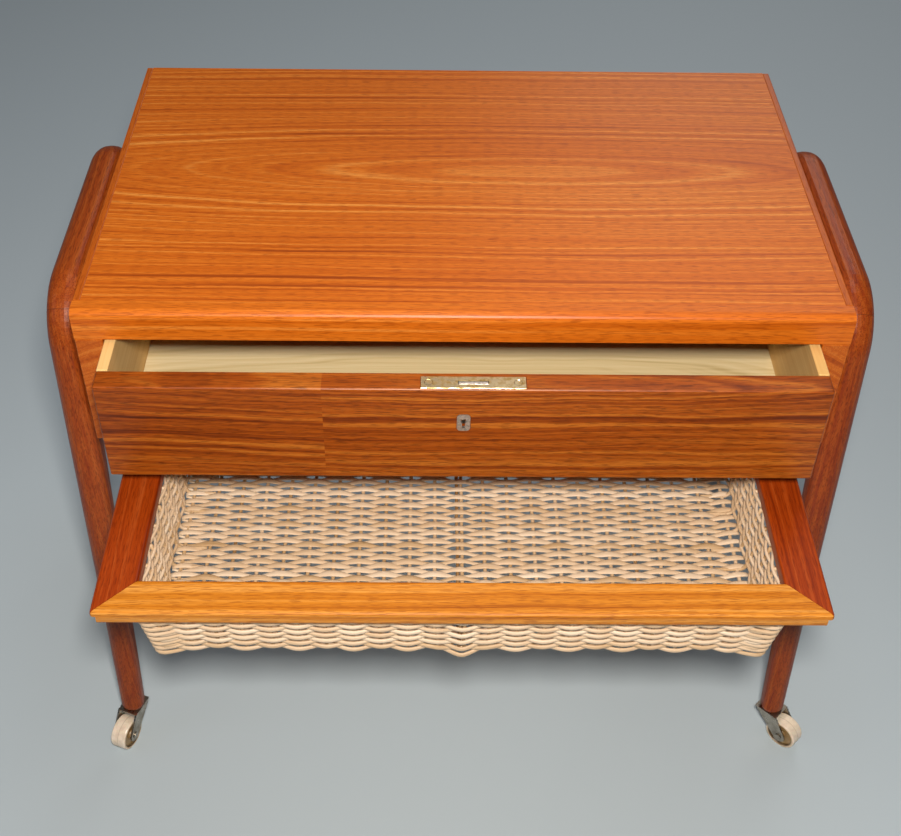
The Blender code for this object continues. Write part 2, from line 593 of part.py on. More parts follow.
def build_lock(slide, front):
    """Lock case in the front's back, its face plate, bolt, screws, key pin and keyhole."""
    left = PLATE_OFFSET - PLATE_LENGTH / 2
    right = PLATE_OFFSET + PLATE_LENGTH / 2
    plate_low = DRAWER_TOP - PLATE_THICK
    plate = box("lock_face_plate", "brass", slide, (left, PLATE_FROM_FRONT, plate_low),
                (right, PLATE_FROM_FRONT + PLATE_WIDTH, DRAWER_TOP), 2 * SHY)
    combine(front, block_tool("plate_recess", slide,
                              (left - GAP, PLATE_FROM_FRONT - GAP, plate_low - GAP),
                              (right + GAP, PLATE_FROM_FRONT + PLATE_WIDTH + GAP, DRAWER_TOP + CUT_THROUGH)))
    case_low = (PLATE_OFFSET - LOCK_LENGTH / 2, LOCK_FROM_FRONT, plate_low - GAP - LOCK_HEIGHT)
    case_high = (PLATE_OFFSET + LOCK_LENGTH / 2, LOCK_FROM_FRONT + LOCK_THICK, plate_low - GAP)
    case = box("lock_case", "steel", slide, case_low, case_high, FINE_BREAK)
    combine(front, block_tool("lock_mortise", slide, Vector(case_low) - Vector((GAP, GAP, GAP)),
                              (case_high[0] + GAP, case_high[1] + GAP, plate_low)))
    half = BOLT_LENGTH / 2
    bolt_top = DRAWER_TOP - BOLT_BELOW_PLATE
    box("lock_bolt", "nickel", slide, (PLATE_OFFSET - half, BOLT_Y - BOLT_THICK / 2, bolt_top - BOLT_HEIGHT),
        (PLATE_OFFSET + half, BOLT_Y + BOLT_THICK / 2, bolt_top), 3 * SHY)
    channel = block_tool("bolt_channel", slide,
                         (PLATE_OFFSET - half - BOLT_CLEAR, BOLT_Y - BOLT_THICK / 2 - BOLT_CLEAR,
                          bolt_top - BOLT_HEIGHT - CUT_THROUGH),
                         (PLATE_OFFSET + half + BOLT_CLEAR, BOLT_Y + BOLT_THICK / 2 + BOLT_CLEAR,
                          DRAWER_TOP + CUT_THROUGH))
    combine(plate, channel)
    combine(case, channel)
    for side, x in (("left", left + LOCK_SCREW_INSET), ("right", right - LOCK_SCREW_INSET)):
        head = (x, BOLT_Y, DRAWER_TOP - SHY)
        screw("lock_screw_" + side, slide, "brass", LOCK_SCREW_HEAD, LOCK_SCREW_SHANK,
              LOCK_SCREW_LENGTH, head, "Z", -1)
        sink = cylinder("lock_sink_" + side, None, slide, LOCK_SCREW_SHANK + GAP,
                        LOCK_SCREW_HEAD - LOCK_SCREW_SHANK + 2 * SHY,
                        (x, BOLT_Y, DRAWER_TOP - (LOCK_SCREW_HEAD - LOCK_SCREW_SHANK) / 2),
                        "Z", 20, LOCK_SCREW_HEAD + 1.6 * GAP, cutter=True)
        bore = drill("lock_bore_" + side, slide, LOCK_SCREW_SHANK + GAP, 2 * LOCK_SCREW_LENGTH + CUT_THROUGH,
                     (x, BOLT_Y, DRAWER_TOP), "Z", 16)
        for piece in (plate, front):
            combine(piece, sink)
            combine(piece, bore)
    keyhole = keyhole_tool("keyhole", slide, 2 * LOCK_FROM_FRONT + CUT_THROUGH, 0.0,
                           KEYHOLE_ROUND, KEYHOLE_SLOT, KEYHOLE_SLOT_DROP)
    plate_outline = rounded_outline(ESCUTCHEON_WIDTH, ESCUTCHEON_HEIGHT, ESCUTCHEON_CORNER)
    escutcheon = add_object("keyhole_escutcheon", flat_plate("escutcheon", plate_outline, ESCUTCHEON_THICK),
                            "nickel", slide, (0, ESCUTCHEON_THICK / 2 - 2 * SHY, KEYHOLE_Z))
    escutcheon.rotation_euler = (math.pi / 2, 0, 0)
    combine(escutcheon, keyhole)
    seat_outline = rounded_outline(ESCUTCHEON_WIDTH + 2 * GAP, ESCUTCHEON_HEIGHT + 2 * GAP,
                                   ESCUTCHEON_CORNER + GAP)
    seat = add_object("escutcheon_seat", flat_plate("seat", seat_outline, 2 * ESCUTCHEON_THICK),
                      None, slide, (0, 0, KEYHOLE_Z), cutter=True)
    seat.rotation_euler = (math.pi / 2, 0, 0)
    combine(front, seat)
    combine(front, keyhole)
    pocket_y = LOCK_FROM_FRONT + KEY_POCKET_DEPTH / 2
    pocket = keyhole_tool("key_pocket", slide, KEY_POCKET_DEPTH, pocket_y, KEYHOLE_ROUND + KEY_POCKET_SPARE,
                          KEYHOLE_SLOT, KEYHOLE_SLOT_DROP)
    pin_y = LOCK_FROM_FRONT + KEY_POCKET_DEPTH + GAP + KEY_PIN_SEAT
    pin_seat = drill("key_pin_seat", slide, KEY_PIN_RADIUS + GAP,
                     2 * (KEY_POCKET_DEPTH + KEY_PIN_SEAT + 2 * GAP),
                     (0, LOCK_FROM_FRONT, KEYHOLE_Z + KEYHOLE_LIFT), "Y", 14)
    combine(case, pocket)
    combine(case, pin_seat)
    cylinder("lock_key_pin", "steel", slide, KEY_PIN_RADIUS, KEY_PIN_LENGTH,
             (0, pin_y - KEY_PIN_LENGTH / 2, KEYHOLE_Z + KEYHOLE_LIFT), "Y", 14)


def rounded_outline(width, height, radius):
    """Outline of a rectangle with round corners."""
    points = []
    for x, y, start in ((width / 2 - radius, height / 2 - radius, 0),
                        (-width / 2 + radius, height / 2 - radius, math.pi / 2),
                        (-width / 2 + radius, -height / 2 + radius, math.pi),
                        (width / 2 - radius, -height / 2 + radius, 3 * math.pi / 2)):
        points += arc((x, y), radius, start, start + math.pi / 2, 4)
    return points


# ---- tray and its runners -------------------------------------------------------------
def mitre_tool(name, parent, x, y, sign_x, sign_y, keep_side):
    """A large block whose face lies on the 45 degree line through a corner of the tray."""
    size = 4 * TRAY_RAIL
    tool = box(name, None, parent, (-size, -size, -size), (size, size, size), cutter=True)
    tool.location = (x, y, TRAY_BASE)
    tool.rotation_euler = (0, 0, math.pi / 4)
    direction = Vector((sign_x, -sign_y, 0)).normalized() * (1 if keep_side else -1)
    tool.location += direction * (size - GAP / 2)
    return tool


def build_tray(root):
    """Mitred frame with tongues at its sides, and the woven basket that hangs in it."""
    slide = empty("tray_slide", root, (0, -TRAY_OUT, 0))
    front = box("tray_frame_front", "teak_tray", slide, (-TRAY_HALF_WIDTH, 0, TRAY_BASE),
                (TRAY_HALF_WIDTH, TRAY_RAIL, TRAY_TOP), TRAY_ROUND, 3)
    rear = box("tray_frame_rear", "teak_tray", slide,
               (-TRAY_HALF_WIDTH, TRAY_LENGTH - TRAY_RAIL, TRAY_BASE),
               (TRAY_HALF_WIDTH, TRAY_LENGTH, TRAY_TOP), TRAY_ROUND, 3)
    for side, sign in (("left", -1), ("right", 1)):
        low, high = sorted((sign * TRAY_INNER_HALF, sign * TRAY_HALF_WIDTH))
        rail = box("tray_frame_" + side, "teak_tray", slide, (low, 0, TRAY_BASE),
                   (high, TRAY_LENGTH, TRAY_TOP), TRAY_ROUND, 3)
        edge = sign * TRAY_HALF_WIDTH
        low, high = sorted((edge - sign * TONGUE_OUT, edge + sign * TONGUE_OUT))
        rebate = block_tool("tray_rebate_" + side, slide, (low, -CUT_THROUGH, TRAY_BASE - CUT_THROUGH),
                            (high, TRAY_LENGTH + CUT_THROUGH, TRAY_TOP - TONGUE_THICK))
        for piece in (rail, front, rear):
            combine(piece, rebate)
        for end, y, sign_y, cross in (("front", 0, -1, front), ("rear", TRAY_LENGTH, 1, rear)):
            outside = mitre_tool(f"mitre_out_{end}_{side}", slide, edge, y, sign, sign_y, True)
            inside = mitre_tool(f"mitre_in_{end}_{side}", slide, edge, y, sign, sign_y, False)
            combine(cross, outside)
            combine(rail, inside)
    build_basket(slide)


def tapered_block(name, parent, half_x, half_y, radius, low, high, lean, material=None, cutter=True):
    """A block with round upright corners whose foot is smaller than its top by lean."""
    bm = bmesh.new()
    bmesh.ops.create_cube(bm, size=1.0)
    bmesh.ops.scale(bm, vec=(2 * half_x, 2 * half_y, high - low), verts=bm.verts)
    upright = [e for e in bm.edges if abs(e.verts[0].co.z - e.verts[1].co.z) > 1e-5]
    bmesh.ops.bevel(bm, geom=upright, offset=radius, segments=6, profile=0.5, affect="EDGES")
    for vert in bm.verts:
        if vert.co.z < 0:
            vert.co.x *= (half_x - lean) / half_x
            vert.co.y *= (half_y - lean) / half_y
    mesh = bpy.data.meshes.new(name)
    bm.to_mesh(mesh)
    bm.free()
    return add_object(name, mesh, material, parent, (0, BASKET_MIDDLE_Y, (low + high) / 2), cutter)


def build_basket(slide):
    """A plain closed shell with the woven basket's outer shape and its open top."""
    base = BASKET_RIM - BASKET_DEPTH
    body = tapered_block("basket", slide, BASKET_TOP_HALF, BASKET_TOP_HALF_Y, BASKET_CORNER,
                         base, BASKET_RIM, BASKET_LEAN, "cane", cutter=False)
    slope = BASKET_LEAN / BASKET_DEPTH
    grow = BASKET_WALL - slope * CUT_THROUGH
    hollow = tapered_block("basket_hollow", slide, BASKET_TOP_HALF - grow, BASKET_TOP_HALF_Y - grow,
                           BASKET_CORNER - BASKET_WALL, base + BASKET_FLOOR, BASKET_RIM + CUT_THROUGH,
                           slope * (BASKET_DEPTH - BASKET_FLOOR + CUT_THROUGH))
    combine(body, hollow)


def build_runners(root):
    """Grooved strips under the case that the tray's tongues slide in."""
    inner = TRAY_HALF_WIDTH - TONGUE_OUT + TONGUE_CLEAR
    low_z = TRAY_TOP - RUNNER_BELOW_TRAY_TOP
    for side, sign in (("left", -1), ("right", 1)):
        low, high = sorted((sign * inner, sign * (inner + RUNNER_WIDTH)))
        runner = box("tray_runner_" + side, "beech", root, (low, RUNNER_INSET, low_z),
                     (high, CASE_DEPTH - RUNNER_INSET, CASE_BOTTOM - GAP), 2 * FINE_BREAK)
        low, high = sorted((sign * (inner - CUT_THROUGH), sign * (TRAY_HALF_WIDTH + TONGUE_CLEAR)))
        combine(runner, block_tool("runner_groove_" + side, root,
                                   (low, 0, TRAY_TOP - TONGUE_THICK - TONGUE_CLEAR),
                                   (high, CASE_DEPTH, TRAY_TOP + TONGUE_CLEAR)))


# ---- casters --------------------------------------------------------------------------
def build_wheel(name, parent):
    """A turned wheel: a broad tread, dished sides and a hub with a bore."""
    half = WHEEL_WIDTH / 2
    rim = WHEEL_RADIUS
    dish = rim - WHEEL_RIM
    bore = AXLE_RADIUS + AXLE_CLEAR
    side = [(rim, half - WHEEL_ROUND), (rim - WHEEL_ROUND * 0.3, half - WHEEL_ROUND * 0.3),
            (rim - WHEEL_ROUND, half), (dish, half), (dish - WHEEL_DISH / 2, half - WHEEL_DISH),
            (WHEEL_HUB_RADIUS + WHEEL_DISH / 2, half - WHEEL_DISH), (WHEEL_HUB_RADIUS, half), (bore, half)]
    profile = [(r, 0, z) for r, z in reversed(side)] + [(r, 0, -z) for r, z in side]
    mesh = bpy.data.meshes.new(name)
    closed = [(i, (i + 1) % len(profile)) for i in range(len(profile))]
    mesh.from_pydata(profile, closed, [])
    wheel = add_object(name, mesh, "nylon", parent, (0, 0, 0))
    turn = wheel.modifiers.new("turn", "SCREW")
    turn.axis = "Z"
    turn.steps = 32
    turn.render_steps = 32
    turn.use_merge_vertices = True
    turn.merge_threshold = 1e-5
    turn.use_normal_calculate = True
    wheel.rotation_euler = (0, math.pi / 2, 0)
    return wheel


def fork_arm_outline():
    """Side view of a fork arm: a plate edge that narrows to an eye round the axle."""
    eye = (-CASTER_TRAIL, WHEEL_RADIUS)
    top = LEG_END - STEM_WASHER
    back = FORK_LENGTH / 2
    return ([(back, top), (-back, top)]
            + arc(eye, FORK_EYE, math.radians(150), math.radians(330), 9))


def build_caster(root, end, side, sign):
    """A swivelling fork with its stem, and the wheel on its axle."""
    name = f"{end}_{side}"
    foot = LEG_FOOT_FRONT if end == "front" else LEG_FOOT_REAR
    turn = CASTER_TURN[name] * sign
    if end == "rear":
        turn = math.pi - turn
    swivel = empty(f"caster_swivel_{name}", root, (sign * FRAME_X, foot, 0), turn)
    inner = WHEEL_WIDTH / 2 + FORK_CLEAR
    outer = inner + FORK_SHEET
    top = LEG_END - STEM_WASHER
    back = FORK_LENGTH / 2
    fork = box(f"caster_fork_{name}", "nickel", swivel, (-outer + FORK_SHEET / 4, -back, top - FORK_SHEET),
               (outer - FORK_SHEET / 4, back, top - SHY))
    for arm_side, arm_sign in (("a", -1), ("b", 1)):
        arm = add_object(f"fork_arm_{name}_{arm_side}",
                         flat_plate("fork_arm", fork_arm_outline(), FORK_SHEET), None, swivel,
                         (arm_sign * (inner + FORK_SHEET / 2), 0, 0), cutter=True)
        arm.rotation_euler = (math.pi / 2, 0, math.pi / 2)
        combine(fork, arm, "UNION")
    washer = cylinder(f"fork_washer_{name}", None, swivel, STEM_WASHER_RADIUS, STEM_WASHER + WASHER_SINK,
                      (0, 0, top + (STEM_WASHER - WASHER_SINK) / 2 - GAP), cutter=True)
    combine(fork, washer, "UNION")
    stem = cylinder(f"fork_stem_{name}", None, swivel, STEM_RADIUS, STEM_LENGTH + FORK_SHEET,
                    (0, 0, top + (STEM_LENGTH - FORK_SHEET / 2) / 2), segments=20, cutter=True)
    combine(fork, stem, "UNION")
    combine(fork, drill(f"fork_eye_{name}", swivel, AXLE_RADIUS + GAP, 2 * (outer + CUT_THROUGH),
                        (0, -CASTER_TRAIL, WHEEL_RADIUS), "X", 20))
    axle = cylinder(f"caster_axle_{name}", "steel", swivel, AXLE_RADIUS,
                    2 * (outer + GAP + AXLE_HEAD_THICK / 2),
                    (0, -CASTER_TRAIL, WHEEL_RADIUS), "X", 20)
    for head_side, head_sign in (("a", -1), ("b", 1)):
        head = cylinder(f"axle_head_{name}_{head_side}", None, swivel, AXLE_HEAD, AXLE_HEAD_THICK,
                        (head_sign * (outer + GAP + AXLE_HEAD_THICK / 2), -CASTER_TRAIL, WHEEL_RADIUS),
                        "X", 20, cutter=True)
        combine(axle, head, "UNION")
    spin = empty(f"caster_spin_{name}", swivel, (0, -CASTER_TRAIL, WHEEL_RADIUS))
    build_wheel(f"caster_wheel_{name}", spin)


# ---- assembly -------------------------------------------------------------------------
def build():
    root = empty("sewing_table_root", None, (0, ROOT_Y, 0))
    build_case(root)
    build_frames(root)
    build_drawer(root)
    build_runners(root)
    build_tray(root)
    for end in ("front", "rear"):
        for side, sign in (("left", -1), ("right", 1)):
            build_caster(root, end, side, sign)
    bpy.context.view_layer.update()


build()
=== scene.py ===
# %% [markdown]
# # A teak sewing table with a drawer and a sliding basket tray
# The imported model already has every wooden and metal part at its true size. This lesson gives
# those parts their finishes, weaves a real basket in place of the plain basket solid, and sets
# up a quiet studio: a floor, four lamps and a camera.

import json
import math

import bpy
import numpy as np
from mathutils import Matrix, Vector


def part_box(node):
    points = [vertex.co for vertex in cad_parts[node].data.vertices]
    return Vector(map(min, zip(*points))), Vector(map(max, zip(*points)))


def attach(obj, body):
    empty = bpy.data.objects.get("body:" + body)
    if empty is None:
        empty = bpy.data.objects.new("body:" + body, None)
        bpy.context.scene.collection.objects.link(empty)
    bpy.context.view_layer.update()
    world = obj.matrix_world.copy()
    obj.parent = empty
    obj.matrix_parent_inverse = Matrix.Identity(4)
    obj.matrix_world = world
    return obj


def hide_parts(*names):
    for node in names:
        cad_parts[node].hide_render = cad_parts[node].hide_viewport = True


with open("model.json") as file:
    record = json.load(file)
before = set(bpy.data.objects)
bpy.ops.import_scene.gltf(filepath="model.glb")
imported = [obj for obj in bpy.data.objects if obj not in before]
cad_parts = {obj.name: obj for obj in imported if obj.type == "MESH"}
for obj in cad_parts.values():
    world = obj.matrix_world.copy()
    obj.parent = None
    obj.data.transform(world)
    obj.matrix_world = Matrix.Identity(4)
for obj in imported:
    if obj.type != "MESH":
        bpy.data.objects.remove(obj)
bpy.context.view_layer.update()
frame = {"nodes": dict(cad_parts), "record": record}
nodes = frame["nodes"]

# %% [markdown]
# ## Camera
# The table is looked at from a little above a standing person's waist, with the lens pointing
# 43 degrees down. A 53 mm lens on a 36 mm wide sensor keeps the front edge wider than the back
# edge, as the eye sees it. A camera held by hand is never quite straight, so this one is turned
# and tilted by about one degree, and its view is shifted a little to the side.

# %% Camera
LENS = 53.15
SENSOR = 36
LOOK_DOWN = math.radians(43.10)
TURN = math.radians(-0.892)
TILT = math.radians(0.968)
BEFORE_THE_TABLE = 0.73758
STAND = (-0.02338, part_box("top_front_edge")[0][1] - BEFORE_THE_TABLE, 1.10296)
SHIFT = (0.0052, -0.0005)

camera_data = bpy.data.cameras.new("camera")
camera_data.lens = LENS
camera_data.sensor_width = SENSOR
camera_data.shift_x, camera_data.shift_y = SHIFT
camera = bpy.data.objects.new("camera", camera_data)
aim = (Matrix.Rotation(TURN, 3, "Z") @ Matrix.Rotation(math.pi / 2 - LOOK_DOWN, 3, "X")
       @ Matrix.Rotation(TILT, 3, "Z"))
camera.matrix_world = Matrix.Translation(STAND) @ aim.to_4x4()
bpy.context.scene.collection.objects.link(camera)
bpy.context.scene.camera = camera
bpy.context.scene.view_settings.view_transform = "Standard"
print("camera at", STAND, "lens", LENS)

# %% [markdown]
# ## Two helpers for every material
# A listed colour is an sRGB hex value, and a shader wants linear light, so one function
# turns the one into the other. A second function adds a shader node: its settings are plain
# keywords, its sockets take either a value or another node's output, and a colour ramp also
# takes its stops.


# %% Colours and nodes
def linear(code):
    """The linear RGBA colour of an sRGB hex code such as C66E32."""
    parts = [int(code[i:i + 2], 16) / 255 for i in (0, 2, 4)]
    return [p / 12.92 if p <= 0.04045 else ((p + 0.055) / 1.055) ** 2.4 for p in parts] + [1]


def add(tree, kind, sockets=None, stops=(), **settings):
    """Adds a shader node. A socket's entry is a value, or the output that feeds it. `stops` are
    the (place, hex colour) pairs of a colour ramp."""
    made = tree.nodes.new("ShaderNode" + kind)
    for name, value in settings.items():
        setattr(made, name, value)
    for name, value in (sockets or {}).items():
        if isinstance(value, bpy.types.NodeSocket):
            tree.links.new(value, made.inputs[name])
        else:
            made.inputs[name].default_value = value
    for _ in stops[2:]:                 # a new ramp already has two stops
        made.color_ramp.elements.new(1)
    for number, (place, code) in enumerate(stops):
        made.color_ramp.elements[number].position = place
        made.color_ramp.elements[number].color = linear(code)
    return made


def new_material(name):
    """An empty node material and its tree."""
    material = bpy.data.materials.new(name)
    material.use_nodes = True
    material.node_tree.nodes.clear()
    return material, material.node_tree


def finish_material(tree, sockets):
    """Ends a tree with a Principled shader that has these sockets."""
    shader = add(tree, "BsdfPrincipled", sockets)
    add(tree, "OutputMaterial", {"Surface": shader.outputs[0]})


MM = 0.001
QUARTER = math.pi / 2
print("teak mid colour in linear light:", [round(c, 3) for c in linear("C66E32")[:3]])

# %% [markdown]
# ## Teak
# Oiled teak is orange-brown, with growth rings 1 to 6 mm apart that show as darker lines, and
# with open pores: short dark dashes along the grain. A flat-cut sheet shows the rings as nested
# pointed ovals. A real log gives that shape by itself: the rings are circles round the log's
# heart, and where the heart runs past the cut at a varying depth, the lines close into ovals.
# So the pattern is worked out from the distance to such a heart, and a one-dimensional noise
# along that distance gives rings of uneven width. Wear and wood-oil keep the surface satin.
#
# Five noises share the work, and each is stretched along the grain. Real pores are a few tenths
# of a millimetre wide, too fine to show from here, so they are drawn about half a millimetre wide.

# %% Patterns in wood, as repeats per metre along and across the grain
SWAY = (3.0, 14.0, 14.0)            # slow sway of the rings: 330 mm long, 70 mm wide
WOBBLE = (14.0, 60.0, 60.0)         # their small wobble: 70 mm long, 17 mm wide
STREAKS = (4.0, 420.0, 420.0)       # streaks of fibre: 250 mm long, 2.4 mm wide
CLOUDS = (1.6, 9.0, 9.0)            # broad light and dark areas: 600 mm long, 110 mm wide
PORES = (95.0, 1900.0, 1900.0)      # pores: 10 mm long, 0.5 mm wide
SWAY_SIZE = 22 * MM
WOBBLE_SIZE = 3 * MM
LEAF_JUMP = 37 * MM
RAMP_PLACES = (0.0, 0.3, 0.62, 1.0)
print("streaks", round(1 / (STREAKS[1] * MM), 1), "mm wide, pores",
      round(1 / (PORES[1] * MM), 1), "mm wide")


# %% Wood
def wood(name, colours, turn=(0, 0, 0), heart=(0, 0, 0), depth=0.2, bow=0.0, ring=3.5 * MM,
         pores=0.55, polish=0.36, relief=0.12, figure=1.0, rings_share=1.0, streak=0.45,
         cloud=0.45, seam=None):
    """Wood whose grain runs along X once the object is turned. The rings lie round a heart line
    that is `depth` under the surface, and that bends away from it by `bow` per metre squared.
    `pores`, `rings_share`, `streak` and `cloud` say how strongly each pattern shows, `figure`
    how much the rings sway, `polish` how rough the surface is and `relief` how high its bumps
    are. A `seam` is a place along X where the next leaf of veneer starts."""
    material, tree = new_material(name)
    place = add(tree, "TexCoord").outputs["Object"]
    board = add(tree, "Mapping", {"Vector": place, "Rotation": turn, "Location": heart})
    warp = add(tree, "Mapping", {"Vector": board.outputs[0], "Scale": SWAY})
    sway = add(tree, "TexNoise", {"Vector": warp.outputs[0], "Scale": 1.0, "Detail": 3.0})
    fine_warp = add(tree, "Mapping", {"Vector": board.outputs[0], "Scale": WOBBLE})
    fine = add(tree, "TexNoise", {"Vector": fine_warp.outputs[0], "Scale": 1.0, "Detail": 2.0})
    parts = add(tree, "SeparateXYZ", {"Vector": board.outputs[0]})
    width = parts.outputs[1]
    if seam is not None:
        leaf = add(tree, "Math", {0: parts.outputs[0], 1: seam}, operation="GREATER_THAN")
        width = add(tree, "Math", {0: leaf.outputs[0], 1: LEAF_JUMP, 2: width},
                    operation="MULTIPLY_ADD").outputs[0]
    squared = add(tree, "Math", {0: parts.outputs[0], 1: 2.0}, operation="POWER")
    drop = add(tree, "Math", {0: squared.outputs[0], 1: bow, 2: depth}, operation="MULTIPLY_ADD")
    down = add(tree, "Math", {0: drop.outputs[0], 1: parts.outputs[2]}, operation="SUBTRACT")
    swayed = add(tree, "Math", {0: sway.outputs[0], 1: SWAY_SIZE * figure, 2: width},
                 operation="MULTIPLY_ADD")
    across = add(tree, "Math", {0: fine.outputs[0], 1: WOBBLE_SIZE * figure,
                                2: swayed.outputs[0]}, operation="MULTIPLY_ADD")
    section = add(tree, "CombineXYZ", {0: across.outputs[0], 1: down.outputs[0]})
    radius = add(tree, "VectorMath", {0: section.outputs[0]}, operation="LENGTH")
    rings = add(tree, "TexNoise", {"W": radius.outputs["Value"], "Scale": 1 / ring, "Detail": 3.0,
                                   "Roughness": 0.62}, noise_dimensions="1D")
    streak_map = add(tree, "Mapping", {"Vector": board.outputs[0], "Scale": STREAKS})
    streaks = add(tree, "TexNoise", {"Vector": streak_map.outputs[0], "Scale": 1.0, "Detail": 3.0})
    broad_map = add(tree, "Mapping", {"Vector": board.outputs[0], "Scale": CLOUDS})
    broad = add(tree, "TexNoise", {"Vector": broad_map.outputs[0], "Scale": 1.0, "Detail": 1.0})
    ringed = add(tree, "Math", {0: rings.outputs[0], 1: rings_share}, operation="MULTIPLY")
    blend = add(tree, "Math", {0: streaks.outputs[0], 1: streak, 2: ringed.outputs[0]},
                operation="MULTIPLY_ADD")
    tone = add(tree, "Math", {0: broad.outputs[0], 1: cloud, 2: blend.outputs[0]},
               operation="MULTIPLY_ADD")
    middle = 0.5 * (rings_share + streak + cloud)
    spread = add(tree, "MapRange", {"Value": tone.outputs[0], "From Min": middle - 0.30,
                                    "From Max": middle + 0.27})
    colour = add(tree, "ValToRGB", {"Fac": spread.outputs[0]},
                 stops=list(zip(RAMP_PLACES, colours))).outputs[0]
    pore_map = add(tree, "Mapping", {"Vector": board.outputs[0], "Scale": PORES})
    pore = add(tree, "TexNoise", {"Vector": pore_map.outputs[0], "Scale": 1.0, "Detail": 1.0})
    dashes = add(tree, "MapRange", {"Value": pore.outputs[0], "From Min": 0.39, "From Max": 0.47,
                                    "To Min": 1.0, "To Max": 0.0})
    dark = add(tree, "Math", {0: dashes.outputs[0], 1: pores}, operation="MULTIPLY")
    mixed = add(tree, "Mix", {"Factor": dark.outputs[0], "A": colour, "B": linear(colours[0])},
                data_type="RGBA")
    gloss = add(tree, "MapRange", {"Value": streaks.outputs[0], "To Min": polish - 0.07,
                                   "To Max": polish + 0.09})
    height = add(tree, "Math", {0: dashes.outputs[0], 1: -0.6, 2: streaks.outputs[0]},
                 operation="MULTIPLY_ADD")
    bump = add(tree, "Bump", {"Height": height.outputs[0], "Strength": relief,
                              "Distance": 0.15 * MM})
    finish_material(tree, {"Base Color": mixed.outputs["Result"], "Roughness": gloss.outputs[0],
                           "Normal": bump.outputs[0], "IOR": 1.5, "Specular IOR Level": 0.25})
    return material


# %% [markdown]
# Every board of the table has its own teak: the top and the tray's front rail are the lightest,
# oiled and faded by light, the drawer front is a darker figured leaf with a seam in it, and the
# turned frames are a deep red-brown. `turn` lays the grain along the board, and `heart` puts the
# log's heart where it gives that board's lines.

# %% Teak
TEAK_TOP = ("843606", "BA5A0E", "C86A18", "DC8C3C")
TEAK_LIPPING = ("7E3206", "A44C0C", "B45A14", "C47028")
TEAK_FRAME = ("501804", "7E2E0A", "964412", "AC5C26")
TEAK_FRONT = ("3A1202", "743004", "94460A", "B0641E")
TEAK_TRAY = ("84400A", "B66A14", "C67C22", "D69442")
TEAK_SIDE_RAIL = ("641C02", "862E04", "983A08", "AC5220")

top_y = (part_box("top_board")[0][1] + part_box("top_board")[1][1]) / 2
top_teak = wood("teak_veneer_top", TEAK_TOP, heart=(-0.06, -top_y - 0.012, -0.512),
                depth=0.030, bow=0.17, ring=4.5 * MM, figure=0.6, rings_share=0.85, streak=0.45,
                cloud=0.4, polish=0.40)
front_edge_teak = wood("teak_front_edge", TEAK_TOP, heart=(0.2, 0.3, 0.1), ring=5 * MM,
                       rings_share=0.5, cloud=0.3)
lipping_teak = wood("teak_lipping", TEAK_LIPPING, turn=(0, 0, QUARTER), ring=5 * MM,
                    rings_share=0.5)
rail_teak = wood("teak_rail", TEAK_FRAME, turn=(0, 0, QUARTER), heart=(0, 0.1, 0), ring=3 * MM,
                 rings_share=0.4, cloud=0.3)
leg_teak = {
    "front": wood("teak_front_leg", TEAK_FRAME, turn=(0, QUARTER, 0), ring=3 * MM,
                  rings_share=0.4, cloud=0.3),
    "rear": wood("teak_rear_leg", TEAK_FRAME, turn=(0, QUARTER, 0), heart=(0, 0.02, 0),
                 ring=3 * MM, rings_share=0.4, cloud=0.3),
}
case_teak = wood("teak_case_side", TEAK_LIPPING, turn=(0, 0, QUARTER), heart=(0, 0.05, 0.3),
                 ring=5 * MM)
front_teak = wood("teak_veneer_drawer_front", TEAK_FRONT, turn=(-QUARTER, 0, 0),
                  heart=(-0.05, 0.02, 0), depth=0.03, bow=0.5, ring=6 * MM, figure=1.5,
                  streak=0.35, cloud=0.75, seam=-0.15, polish=0.36)
tray_front_teak = wood("teak_tray_front", TEAK_TRAY, heart=(0.1, 0.35, 0), ring=5 * MM)
tray_side_teak = wood("teak_tray_side", TEAK_SIDE_RAIL, turn=(0, 0, QUARTER), ring=5 * MM)
print("teak finishes:", sum(m.name.startswith("teak") for m in bpy.data.materials))

# %% [markdown]
# ## Pale woods
# The drawer box is birch with a thin plywood bottom, and the runners are beech. All three are
# close-grained, so the same recipe works with quiet colours, hardly any pores and a flatter sheen.

# %% Birch, plywood and beech
BIRCH = ("B98A48", "D2A766", "DDB878", "E6C88E")
PLYWOOD = ("BCA878", "D2C092", "DCCCA2", "E4D6B2")
BEECH = ("9A6A3A", "B98450", "C6925C", "D2A26C")
birch = wood("birch", BIRCH, turn=(0, 0, QUARTER), ring=6 * MM, pores=0.05, polish=0.5,
             rings_share=0.4)
birch_back = wood("birch_back", BIRCH, ring=6 * MM, pores=0.05, polish=0.5)
plywood = wood("birch_plywood", PLYWOOD, heart=(0, 0.05, -0.4), depth=0.02, bow=0.4,
               ring=12 * MM, pores=0.08, polish=0.6, figure=2.0)
beech = wood("beech", BEECH, turn=(0, 0, QUARTER), ring=5 * MM, pores=0.3, polish=0.55)
print("pale woods ready")


# %% [markdown]
# ## Metals
# The lock plate is brass that has gone dull in patches, the bolt and the keyhole lining are worn
# nickel, the screws and the caster forks are bright zinc on steel. All of them keep a metal's
# full metallic value. Dull patches 2.5 to 9 mm wide break up their shine, and scratches 0.25 mm
# wide run along them.


